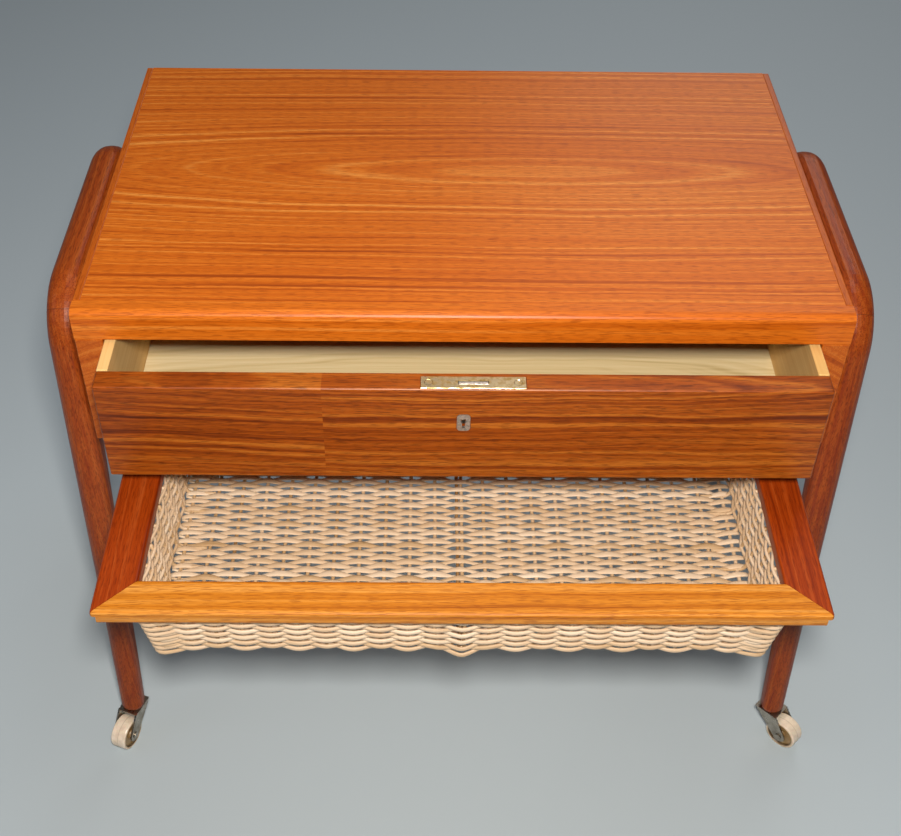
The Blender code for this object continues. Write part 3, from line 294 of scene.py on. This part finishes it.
# %% Metals
def metal(name, clean, dull, polish, patch=2.5 * MM, scratch=0.25):
    """A plated or bare metal with dull patches and fine scratches along X."""
    material, tree = new_material(name)
    place = add(tree, "TexCoord").outputs["Object"]
    patches = add(tree, "TexNoise", {"Vector": place, "Scale": 1 / patch, "Detail": 4.0})
    mask = add(tree, "MapRange", {"Value": patches.outputs[0], "From Min": 0.42,
                                  "From Max": 0.66})
    lines = add(tree, "Mapping", {"Vector": place, "Scale": (300.0, 4000.0, 4000.0)})
    fine = add(tree, "TexNoise", {"Vector": lines.outputs[0], "Scale": 1.0, "Detail": 2.0})
    colour = add(tree, "Mix", {"Factor": mask.outputs[0], "A": linear(clean), "B": linear(dull)},
                 data_type="RGBA")
    rough = add(tree, "MapRange", {"Value": mask.outputs[0], "To Min": polish,
                                   "To Max": polish + 0.25})
    bump = add(tree, "Bump", {"Height": fine.outputs[0], "Strength": scratch,
                              "Distance": 0.05 * MM})
    finish_material(tree, {"Base Color": colour.outputs["Result"], "Metallic": 1.0,
                           "Roughness": rough.outputs[0], "Normal": bump.outputs[0]})
    return material


brass = metal("dulled_brass", "EADAAE", "C0A468", 0.32, patch=4 * MM)
nickel = metal("worn_nickel_plating", "E4E0D8", "B4B0A8", 0.42)
zinc = metal("bright_zinc_on_steel", "B4ACA0", "989084", 0.26, patch=9 * MM, scratch=0.12)
print("metals:", brass.name, nickel.name, zinc.name)

# %% [markdown]
# ## Nylon
# The caster wheels are moulded cream nylon: slightly soft to light, satin, with scuffs. Where the
# two halves of the mould met, a fine line runs round the tread. The dished sides are tan, with a
# dark ring just inside the rim. The pattern is worked out from the distance to the axle, so
# each wheel has a material with its own axle in it.

# %% Wheel sizes, and the axles that the wheels turn on
joints = {joint["name"]: joint for joint in frame["record"]["behaviour"]["joints"]}
wheel_low, wheel_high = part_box("caster_wheel_front_left")
WHEEL_RADIUS = (wheel_high[2] - wheel_low[2]) / 2
RIM = 1 - 2.6 * MM / WHEEL_RADIUS
# Stops from the axle out: a brown dish that lightens outward, a dark ring just inside the rim,
# then the cream tread.
WHEEL_COLOURS = [(0.0, "6E5430"), (0.3, "8C6E42"), (RIM - 0.12, "967848"), (RIM - 0.02, "3A2A18"),
                 (RIM + 0.03, "C8AE8C"), (0.97, "F0E0CC")]
print("wheel radius", round(WHEEL_RADIUS / MM, 1), "mm, rim from", round(RIM, 2), "of it outward")


# %% Nylon
def nylon(name, spin):
    """A moulded nylon wheel that turns round `spin`: a cream tread with a mould line round its
    middle, tan dished sides with a dark ring just inside the rim, and scuffed patches all over."""
    material, tree = new_material(name)
    axle = Vector(spin["axis"])
    place = add(tree, "TexCoord").outputs["Object"]
    arm = add(tree, "VectorMath", {0: place, 1: spin["pos_m"]}, operation="SUBTRACT").outputs[0]
    along = add(tree, "VectorMath", {0: arm, 1: axle}, operation="DOT_PRODUCT").outputs["Value"]
    off = add(tree, "VectorMath", {0: arm, 1: axle}, operation="CROSS_PRODUCT").outputs[0]
    radius = add(tree, "VectorMath", {0: off}, operation="LENGTH").outputs["Value"]
    side = add(tree, "Math", {0: along}, operation="ABSOLUTE").outputs[0]
    share = add(tree, "Math", {0: radius, 1: WHEEL_RADIUS}, operation="DIVIDE").outputs[0]
    zones = add(tree, "ValToRGB", {"Fac": share}, stops=WHEEL_COLOURS).outputs[0]
    line = add(tree, "MapRange", {"Value": side, "From Min": 0.2 * MM, "From Max": 0.6 * MM,
                                  "To Min": 0.35, "To Max": 0.0})
    lined = add(tree, "Mix", {"Factor": line.outputs[0], "A": zones, "B": linear("9C8468")},
                data_type="RGBA").outputs["Result"]
    patches = add(tree, "TexNoise", {"Vector": place, "Scale": 1 / (5 * MM), "Detail": 4.0})
    mask = add(tree, "MapRange", {"Value": patches.outputs[0], "From Min": 0.45, "From Max": 0.8,
                                  "To Max": 0.5})
    colour = add(tree, "Mix", {"Factor": mask.outputs[0], "A": lined, "B": linear("B8A084")},
                 data_type="RGBA")
    grit = add(tree, "TexNoise", {"Vector": place, "Scale": 1 / (0.8 * MM), "Detail": 2.0})
    bump = add(tree, "Bump", {"Height": grit.outputs[0], "Strength": 0.15,
                              "Distance": 0.1 * MM})
    rough = add(tree, "MapRange", {"Value": mask.outputs[0], "To Min": 0.35, "To Max": 0.6})
    finish_material(tree, {"Base Color": colour.outputs["Result"], "IOR": 1.53,
                           "Roughness": rough.outputs[0], "Normal": bump.outputs[0],
                           "Subsurface Weight": 0.1, "Subsurface Scale": 1 * MM})
    return material


sides = ("left", "right")
ends = ("front", "rear")
corners = [f"{end}_{side}" for end in ends for side in sides]
wheel_nylon = {corner: nylon(f"cream_nylon_{corner}", joints[f"wheel_spin_{corner}"])
               for corner in corners}
print("nylon wheels:", len(wheel_nylon))


# %% [markdown]
# ## Dress the carried parts
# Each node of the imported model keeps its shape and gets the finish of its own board, with the
# grain along the board as a joiner lays it.


# %% Give every node its finish
def dress(material, *names):
    """Puts one material on these nodes."""
    for name in names:
        slots = nodes[name].data.materials
        slots.clear()
        slots.append(material)


dress(top_teak, "top_board")
dress(front_edge_teak, "top_front_edge")
dress(lipping_teak, *(f"top_lipping_{side}" for side in sides))
dress(case_teak, *(f"side_panel_{side}" for side in sides))
dress(front_edge_teak, "back_panel", "bottom_panel")
dress(rail_teak, *(f"side_rail_{side}" for side in sides),
      *(f"frame_spacer_{corner}" for corner in corners))
for end in ends:
    dress(leg_teak[end], *(f"leg_{end}_{side}" for side in sides))
dress(front_teak, "drawer_front")
dress(birch, *(f"drawer_side_{side}" for side in sides))
dress(birch_back, "drawer_back")
dress(plywood, "drawer_bottom")
dress(beech, *(f"drawer_stop_{side}" for side in sides),
      *(f"tray_runner_{side}" for side in sides))
dress(tray_front_teak, "tray_frame_front", "tray_frame_rear")
dress(tray_side_teak, *(f"tray_frame_{side}" for side in sides))
dress(brass, "lock_face_plate", *(f"lock_screw_{side}" for side in sides))
dress(nickel, "lock_bolt", "keyhole_escutcheon", "lock_key_pin")
dress(zinc, "lock_case", *(f"frame_screw_{corner}" for corner in corners),
      *(f"caster_fork_{corner}" for corner in corners),
      *(f"caster_axle_{corner}" for corner in corners))
for corner in corners:
    dress(wheel_nylon[corner], f"caster_wheel_{corner}")
print("undressed nodes:", [n for n, o in nodes.items() if n != "basket"
                           and not o.data.materials[0].use_nodes])

# %% [markdown]
# ## Glue lines
# Each leg meets its side rail in a 45 degree joint at the corner. Dark glue fills the 0.3 mm
# between the two pieces, so a thin brown line is left round the joint. Each filling is a round
# disc that stays 0.2 mm inside the wood.

# %% Glue in the four frame joints
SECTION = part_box("leg_front_left")[1][0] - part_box("leg_front_left")[0][0]
FRAME_CORNER = 52 * MM
SLANT = math.sqrt(0.5)
GLUE_THICK = 0.4 * MM
GLUE_INSET = 0.2 * MM
glue = wood("dark_glue_line", ("2A0C02", "3A1404", "4A1C08", "5A240C"), ring=2 * MM)
for side in sides:
    rail_low, rail_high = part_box(f"side_rail_{side}")
    for end, edge, sign in (("front", rail_low[1], 1), ("rear", rail_high[1], -1)):
        joint_z = rail_high[2] - FRAME_CORNER * (1 - SLANT) - SECTION / 2 * SLANT
        joint_y = edge + sign * SECTION / 2 * SLANT
        bpy.ops.mesh.primitive_cylinder_add(
            vertices=40, radius=SECTION / 2 - GLUE_INSET, depth=GLUE_THICK,
            location=((rail_low[0] + rail_high[0]) / 2, joint_y, joint_z),
            rotation=(-sign * QUARTER / 2, 0, 0))
        line = bpy.context.object
        line.name = f"glue_line_{end}_{side}"
        line.data.materials.append(glue)
        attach(line, "frame")
print("frame joints glued:", len(corners))

# %% [markdown]
# The top's veneered board is glued between its two lippings and its front edge. These fine gaps
# are filled up to the surface, with the colour of the wood beside them.


# %% Glue round the top board
def strip(name, low, high):
    """A thin filled line between two corners."""
    bpy.ops.mesh.primitive_cube_add(size=1, location=(Vector(low) + Vector(high)) / 2)
    line = bpy.context.object
    line.name = name
    line.data.transform(Matrix.Diagonal([*(Vector(high) - Vector(low)), 1]))
    line.data.materials.append(front_edge_teak)
    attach(line, "frame")


board_low, board_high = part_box("top_board")
UNDER_FLUSH = 0.02 * MM
lid = board_high[2] - UNDER_FLUSH
for side in sides:
    lipping_low, lipping_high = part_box(f"top_lipping_{side}")
    near, far = ((lipping_high[0], board_low[0]) if side == "left"
                 else (board_high[0], lipping_low[0]))
    strip(f"glue_line_top_{side}", (near, board_low[1], board_low[2]), (far, board_high[1], lid))
edge_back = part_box("top_front_edge")[1][1]
strip("glue_line_top_front", (board_low[0], edge_back, board_low[2]),
      (board_high[0], board_low[1], lid))

# %% [markdown]
# ## Cane
# The basket is woven from peeled cane: pale cream strands, some of them tan, with fine fibres
# along their length. Each strand carries three numbers for the material to read: how far along
# the strand a point is, how far across it, and one random tone for the whole strand. Its fibres
# are 0.7 mm wide and 33 mm long, and its stains are about 45 mm long. Peeled cane is satin.

# %% Cane material
CANE = ("805C34", "BA9A72", "D0B698", "E0CEB8")
cane, cane_tree = new_material("peeled_cane")
lie = add(cane_tree, "Attribute", attribute_name="lie").outputs["Vector"]
lie_parts = add(cane_tree, "SeparateXYZ", {"Vector": lie})
fibre_map = add(cane_tree, "Mapping", {"Vector": lie, "Scale": (30.0, 1500.0, 50.0)})
fibres = add(cane_tree, "TexNoise", {"Vector": fibre_map.outputs[0], "Scale": 1.0, "Detail": 3.0})
stain_map = add(cane_tree, "Mapping", {"Vector": lie, "Scale": (22.0, 60.0, 50.0)})
stains = add(cane_tree, "TexNoise", {"Vector": stain_map.outputs[0], "Scale": 1.0, "Detail": 3.0})
tone_sum = add(cane_tree, "Math", {0: fibres.outputs[0], 1: 0.5, 2: lie_parts.outputs[2]},
               operation="MULTIPLY_ADD")
tone_all = add(cane_tree, "Math", {0: stains.outputs[0], 1: 0.7, 2: tone_sum.outputs[0]},
               operation="MULTIPLY_ADD")
cane_spread = add(cane_tree, "MapRange", {"Value": tone_all.outputs[0], "From Min": 0.5,
                                          "From Max": 1.5})
cane_colour = add(cane_tree, "ValToRGB", {"Fac": cane_spread.outputs[0]},
                  stops=list(zip((0.0, 0.3, 0.6, 1.0), CANE))).outputs[0]
cane_bump = add(cane_tree, "Bump", {"Height": fibres.outputs[0], "Strength": 0.5,
                                    "Distance": 0.25 * MM})
finish_material(cane_tree, {"Base Color": cane_colour, "Roughness": 0.5, "IOR": 1.5,
                            "Normal": cane_bump.outputs[0]})
print("cane tones:", CANE)

# %% [markdown]
# ## Strands
# A strand is a soft oval tube swept along a path. Its rings are worked out with numpy in one
# step, which keeps hundreds of strands quick. A closed path makes a hoop, an open one gets an
# end cap, so every strand is a closed body.


# %% Strand maker
RING_SIDES = 8
DRIFT_WAVES = (0.11, 0.047, 0.021)


def new_bundle():
    """An empty collection of strands that will become one mesh."""
    return {"points": [], "faces": [], "lie": [], "count": 0}


def lay_strand(bundle, path, facing, half_width, half_thick, tone, hoop=False):
    """Adds one strand. `facing` is the direction of its flat side at each point of the path.
    The `lie` values are the run along the strand, the place across it, and its tone."""
    path = np.asarray(path, float)
    n = len(path)
    if hoop:
        along = np.roll(path, -1, axis=0) - np.roll(path, 1, axis=0)
    else:
        along = np.gradient(path, axis=0)
    along /= np.linalg.norm(along, axis=1, keepdims=True)
    facing = np.broadcast_to(np.asarray(facing, float), path.shape)
    side = np.cross(facing, along)
    side /= np.linalg.norm(side, axis=1, keepdims=True)
    up = np.cross(along, side)
    turn = np.arange(RING_SIDES) * 2 * math.pi / RING_SIDES
    wide = np.broadcast_to(half_width, (n,))[:, None, None]
    thick = np.broadcast_to(half_thick, (n,))[:, None, None]
    rings = (path[:, None] + wide * np.cos(turn)[None, :, None] * side[:, None]
             + thick * np.sin(turn)[None, :, None] * up[:, None])
    run = np.concatenate([[0], np.cumsum(np.linalg.norm(np.diff(path, axis=0), axis=1))])
    lie_values = np.zeros((n, RING_SIDES, 3))
    lie_values[..., 0] = run[:, None]
    lie_values[..., 1] = wide[..., 0] * np.cos(turn)
    lie_values[..., 2] = tone
    start = bundle["count"]
    ring = np.arange(RING_SIDES)
    first = start + (np.arange(n if hoop else n - 1)[:, None] * RING_SIDES + ring)
    last = n * RING_SIDES
    after = (first - start + RING_SIDES) % last + start
    corner_shift = np.roll(ring, -1) - ring
    quads = np.stack([first, first + corner_shift, after + corner_shift, after], axis=-1)
    bundle["faces"] += quads.reshape(-1, 4).tolist()
    if not hoop:
        bundle["faces"].append((start + ring[::-1]).tolist())
        bundle["faces"].append((start + last - RING_SIDES + ring).tolist())
    bundle["points"].append(rings.reshape(-1, 3))
    bundle["lie"].append(lie_values.reshape(-1, 3))
    bundle["count"] += last


def make_piece(name, bundle, material):
    """Turns a bundle of strands into one smooth mesh object."""
    mesh = bpy.data.meshes.new(name)
    mesh.from_pydata(np.concatenate(bundle["points"]).tolist(), [], bundle["faces"])
    mesh.polygons.foreach_set("use_smooth", [True] * len(mesh.polygons))
    values = mesh.attributes.new("lie", "FLOAT_VECTOR", "POINT")
    values.data.foreach_set("vector", np.concatenate(bundle["lie"]).ravel())
    mesh.materials.append(material)
    piece = bpy.data.objects.new(name, mesh)
    bpy.context.scene.collection.objects.link(piece)
    print(name, len(mesh.vertices), "points")
    return piece


def wander(chance, length, step, size):
    """A smooth random drift for every sample along a strand, at most `size` either way."""
    waves = np.zeros(length)
    at = np.arange(length) * step
    for wave_length in DRIFT_WAVES:
        waves += np.sin(at * 2 * math.pi / wave_length + chance.uniform(0, 2 * math.pi))
    return size * waves / len(DRIFT_WAVES)


print("a strand has", RING_SIDES, "sides and drifts in waves of", DRIFT_WAVES, "m")

# %% [markdown]
# ## The basket's floor
# Stakes 20 mm apart run from front to back, and flat strands 4.3 mm apart are woven over and
# under them from side to side. Each row goes over where its neighbours go under, so at each
# stake a pair of small dark gaps shows. In the middle two stakes lie side by side. At the ends
# the rows turn back in pairs round the last stake, which leaves wider, wedge-shaped gaps.

# %% Basket sizes, from the basket solid and the frame it hangs in
basket_low, basket_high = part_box("basket")
rim_z = basket_high[2]
basket_y = (basket_low[1] + basket_high[1]) / 2
WALL = 7 * MM
LEAN = 7.5 * MM
STAKE_PITCH = 19.6 * MM
STAKE = 1.5 * MM
DOUBLE_STAKE = 1.8 * MM
END_WEDGE = 22 * MM
ROW_PITCH = 4.3 * MM
WALL_ROW_PITCH = 3.9 * MM
BASKET_CORNER = 6 * MM
FLOOR_LIFT = 3.2 * MM
floor_z = basket_low[2] + FLOOR_LIFT
wall_half_x = basket_high[0] - WALL / 2
wall_half_y = (basket_high[1] - basket_low[1]) / 2 - WALL / 2
foot_half_x = wall_half_x - LEAN
foot_half_y = wall_half_y - LEAN
print("basket", [round(v / MM) for v in (basket_high - basket_low)], "mm, rim at", round(rim_z, 4))


# %% Floor weave
chance = np.random.default_rng(11)
floor_weave = new_bundle()
STEP = STAKE_PITCH / 7
OVER_UNDER = 1.9 * MM
STRAND_HALF = 2.32
STRAND_HALF_THICK = 0.8 * MM
row_count = int(2 * (foot_half_y - 2 * MM) / ROW_PITCH)
xs = np.arange(-foot_half_x, foot_half_x + STEP / 2, STEP)
for row in range(row_count):
    y = (row - (row_count - 1) / 2) * ROW_PITCH
    wave = np.cos(math.pi * xs / STAKE_PITCH) * (-1) ** row
    height = OVER_UNDER * wave + wander(chance, len(xs), STEP, 0.25 * MM)
    end_pinch = np.clip((np.abs(xs) - foot_half_x + END_WEDGE) / END_WEDGE, 0, 1) ** 1.5
    # Rows turn back in pairs, so each one leans towards its partner near the ends.
    partner = np.where(xs < 0, (-1) ** row, -(-1) ** row)
    drift = wander(chance, len(xs), STEP, 0.45 * MM) + end_pinch * partner * 0.42 * ROW_PITCH
    centre_lift = np.exp(-(xs / (9 * MM)) ** 2) * 0.6 * MM * (wave > 0)
    path = np.stack([xs, basket_y + y + drift, floor_z + height + centre_lift], axis=1)
    swell = np.where(wave > 0, 0.75, 0.95) * wave
    # The strands are narrower 6 mm to each side of the double stake, where they are bent most.
    bent = 1 - 0.3 * np.exp(-(np.abs(xs) / MM - 6) ** 2 / 18)
    half_width = (STRAND_HALF + swell) * MM * (1 + wander(chance, len(xs), STEP, 0.08)) * bent
    half_width *= 1 - 0.25 * end_pinch
    tone = chance.normal(0.52, 0.10)
    lay_strand(floor_weave, path, (0, 0, 1), half_width, STRAND_HALF_THICK, tone)
basket_floor = make_piece("basket_floor_weave", floor_weave, cane)


# %% [markdown]
# ## The basket's walls
# The walls are hoops of round cane, about 4 mm apart, woven over and under the same stakes as
# they turn up, with one stake on each corner. The front wall dips in a V at the double stake.


# %% Wall weave
def hoop_at(z, samples):
    """Points, outward directions and stake count along the hoop at one height."""
    share = (rim_z - z) / (rim_z - basket_low[2])
    half_x = wall_half_x - LEAN * share
    half_y = wall_half_y - LEAN * share
    flat_x, flat_y = half_x - BASKET_CORNER, half_y - BASKET_CORNER
    bend = QUARTER * BASKET_CORNER
    lengths = [2 * flat_x, bend, 2 * flat_y, bend] * 2
    marks = np.concatenate([[0], np.cumsum(lengths)])
    s = np.arange(samples) / samples * marks[-1]
    centres = np.array([(flat_x, -flat_y), (flat_x, flat_y), (-flat_x, flat_y),
                        (-flat_x, -flat_y)])
    points, outs = np.zeros((samples, 3)), np.zeros((samples, 3))
    for k in range(8):
        on = (s >= marks[k]) & (s < marks[k + 1])
        t = s[on] - marks[k]
        quarter = k // 2
        if k % 2 == 0:
            angle = np.full(t.shape, (quarter - 1) * QUARTER)
            run = np.array([math.cos(quarter * QUARTER), math.sin(quarter * QUARTER)])
            place = centres[quarter - 1] + t[:, None] * run
        else:
            angle = (quarter - 1) * QUARTER + t / BASKET_CORNER
            place = np.broadcast_to(centres[quarter], (len(t), 2))
        out = np.stack([np.cos(angle), np.sin(angle)], axis=1)
        points[on, :2] = place + BASKET_CORNER * out
        outs[on, :2] = out
    points[:, 1] += basket_y
    points[:, 2] = z
    stakes = [(marks[k] + marks[k + 1]) / 2 for k in (1, 3, 5, 7)]
    for x in stake_xs:
        stakes += [x + flat_x, marks[4] + flat_x - x]
    for y in side_stake_ys:
        stakes += [marks[2] + flat_y + y, marks[6] + flat_y - y]
    order = np.sort(stakes)
    order = np.concatenate([[order[-1] - marks[-1]], order, [order[0] + marks[-1]]])
    count = np.interp(s, order, np.arange(-1, len(order) - 1))
    return points, outs, count


stake_count = int((foot_half_x - BASKET_CORNER) / STAKE_PITCH)
stake_xs = [k * STAKE_PITCH for k in range(-stake_count, stake_count + 1)]
side_count = int((foot_half_y - BASKET_CORNER) / STAKE_PITCH)
side_stake_ys = [k * STAKE_PITCH for k in range(-side_count, side_count + 1)]
SAMPLES = 560
SAMPLE_STEP = 2.7 * MM
IN_OUT = 1.75 * MM
CANE_HALF = 1.75
CANE_HALF_THICK = 1.25 * MM
wall_weave = new_bundle()
wall_rows = int((rim_z - basket_low[2] - 3 * MM) / WALL_ROW_PITCH)
for row in range(wall_rows):
    z = rim_z - 2.2 * MM - row * WALL_ROW_PITCH
    points, outs, count = hoop_at(z, SAMPLES)
    wave = np.cos(math.pi * (count + row))
    share = row / (wall_rows - 1)
    is_front = points[:, 1] < basket_y - wall_half_y + LEAN + 8 * MM
    dip = np.clip(1 - np.abs(points[:, 0]) / (STAKE_PITCH * 1.1), 0, 1) * is_front
    points[:, 2] -= dip * (1 + 6 * share) * MM
    points[:, 2] += wander(chance, SAMPLES, SAMPLE_STEP, 0.35 * MM) - 0.5 * MM * wave
    points += outs * (wave * IN_OUT)[:, None]
    half_width = (CANE_HALF + 0.35 * wave) * MM
    tone = chance.normal(0.54, 0.10)
    lay_strand(wall_weave, points, outs, half_width, CANE_HALF_THICK, tone, hoop=True)
basket_wall = make_piece("basket_wall_weave", wall_weave, cane)

# %% [markdown]
# ## The basket's corners
# At each corner the rows bunch up: short, thicker canes wrap round it at a slant, outside the
# hoops, and hang a little lower than the walls.

# %% Corner wraps
wraps = new_bundle()
WRAP_REACH = 26 * MM
WRAPS = 8
WRAP_HALF = 1.9 * MM
WRAP_HALF_THICK = 1.3 * MM
for wrap in range(WRAPS):
    down = wrap / (WRAPS - 1)
    z = rim_z - 4 * MM - down * (rim_z - basket_low[2] - 7 * MM)
    reach = wall_half_x + wall_half_y - 2 * LEAN * down - WRAP_REACH
    points, outs, _ = hoop_at(z, SAMPLES)
    points = np.roll(points, SAMPLES // 16, axis=0)
    outs = np.roll(outs, SAMPLES // 16, axis=0)
    for sign_x in (-1, 1):
        for sign_y in (-1, 1):
            near = sign_x * points[:, 0] + sign_y * (points[:, 1] - basket_y) > reach
            path, away = points[near].copy(), outs[near]
            along = np.linspace(-1, 1, len(path))
            path += away * ((1 - along ** 2) * 2.2 * MM)[:, None]
            path[:, 2] += (2.0 * along * sign_x * sign_y - 2.5 * (1 - along ** 2)) * MM
            lay_strand(wraps, path, away, WRAP_HALF * (1 - 0.4 * along ** 2), WRAP_HALF_THICK,
                       chance.normal(0.50, 0.12))
basket_corners = make_piece("basket_corner_wraps", wraps, cane)

# %% [markdown]
# ## Stakes
# A front-to-back stake starts at the rim under the frame, goes down the front wall, turns
# under the floor and climbs the back wall. Side stakes start under the floor. The middle stake
# is a pair. All of them are round cane, 3 mm thick, and a little darker than the strands. The
# four pieces move with the tray and take the plain basket solid's place.


# %% Stakes
STAKE_TURN = 6 * MM
SIDE_STAKE_RUN = 18 * MM
STAKE_TONES = (0.30, 0.12)


def up_the_wall(foot, out):
    """A stake's path from the floor's edge up the wall to the rim."""
    foot, out = np.array(foot, float), np.array(out, float)
    turn = STAKE_TURN
    rise = [foot - out * turn + out * turn * math.sin(a)
            + np.array([0, 0, turn * (1 - math.cos(a))]) for a in np.linspace(0, QUARTER, 5)]
    top = foot + out * LEAN
    top[2] = rim_z - 0.5 * MM
    return np.array(rise + [rise[-1] + (top - rise[-1]) * t for t in np.linspace(0.12, 1, 9)])


stakes = new_bundle()
for x in stake_xs:
    doubled = (-DOUBLE_STAKE, DOUBLE_STAKE) if x == 0 else (0,)
    for offset in doubled:
        front = up_the_wall((x + offset, basket_y - foot_half_y, floor_z), (0, -1, 0))
        back = up_the_wall((x + offset, basket_y + foot_half_y, floor_z), (0, 1, 0))
        floor_run = np.linspace(front[0], back[0], 60)[1:-1]
        path = np.concatenate([front[::-1], floor_run, back])
        path[:, 0] += wander(chance, len(path), 5 * MM, 0.4 * MM)
        lay_strand(stakes, path, (1, 0, 0), STAKE, STAKE, chance.normal(*STAKE_TONES))
for side in (-1, 1):
    for y in side_stake_ys:
        rise = up_the_wall((side * foot_half_x, basket_y + y, floor_z), (side, 0, 0))
        start = rise[0] - np.array([side * SIDE_STAKE_RUN, 0, 0])
        path = np.concatenate([np.linspace(start, rise[0], 6)[:-1], rise])
        lay_strand(stakes, path, (0, 1, 0), STAKE, STAKE, chance.normal(*STAKE_TONES))
basket_stakes = make_piece("basket_stakes", stakes, cane)
basket_pieces = [basket_floor, basket_wall, basket_corners, basket_stakes]
for piece in basket_pieces:
    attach(piece, "tray")
    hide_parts("basket")
print("basket pieces:", [piece.name for piece in basket_pieces])

# %% [markdown]
# ## Studio
# The floor is plain and pale, with a matt coat of paint, and wide enough to fill the view.

# %% Floor
floor_mesh = bpy.data.meshes.new("floor")
REACH = 6.0
around = [(-REACH, -REACH, 0), (REACH, -REACH, 0), (REACH, REACH, 0), (-REACH, REACH, 0)]
floor_mesh.from_pydata(around, [], [(0, 1, 2, 3)])
floor = bpy.data.objects.new("floor", floor_mesh)
bpy.context.scene.collection.objects.link(floor)
floor_paint, floor_tree = new_material("pale_floor_paint")
finish_material(floor_tree, {"Base Color": linear("B8C6D0"), "Roughness": 0.7})
floor_mesh.materials.append(floor_paint)
print("floor", 2 * REACH, "m square")

# %% [markdown]
# There are four lamps. The key is small and stands just above the camera, so it works like a
# flash: it lights the front parts evenly, and each shadow falls behind and below its part with
# a crisp edge. A large soft lamp overhead, a weak one at the left and one behind keep the other
# sides readable, and the world adds a little even light.


# %% Lights
LOOK_AT = Vector((0, 0.05, 0.35))


def lamp(name, place, size, power, colour):
    """A square area light that looks at the middle of the table."""
    data = bpy.data.lights.new(name, "AREA")
    data.shape = "SQUARE"
    data.size = size
    data.energy = power
    data.color = linear(colour)[:3]
    light = bpy.data.objects.new(name, data)
    light.location = place
    light.rotation_euler = (LOOK_AT - Vector(place)).to_track_quat("-Z", "Y").to_euler()
    bpy.context.scene.collection.objects.link(light)
    print("lamp", name, power, "W")


lamp("key", (0.0, -0.86, 1.22), 0.10, 18, "FFF4E6")
lamp("overhead", (0.2, 0.5, 2.4), 0.8, 8, "FFFFFF")
lamp("fill", (-2.0, -0.6, 1.4), 1.2, 3, "EEF4FF")
lamp("behind", (0.8, 2.2, 1.8), 1.2, 9, "FFF8F0")
world = bpy.data.worlds.new("studio")
bpy.context.scene.world = world
world.use_nodes = True
background = world.node_tree.nodes["Background"]
background.inputs["Color"].default_value = linear("E8EAEC")
background.inputs["Strength"].default_value = 0.10
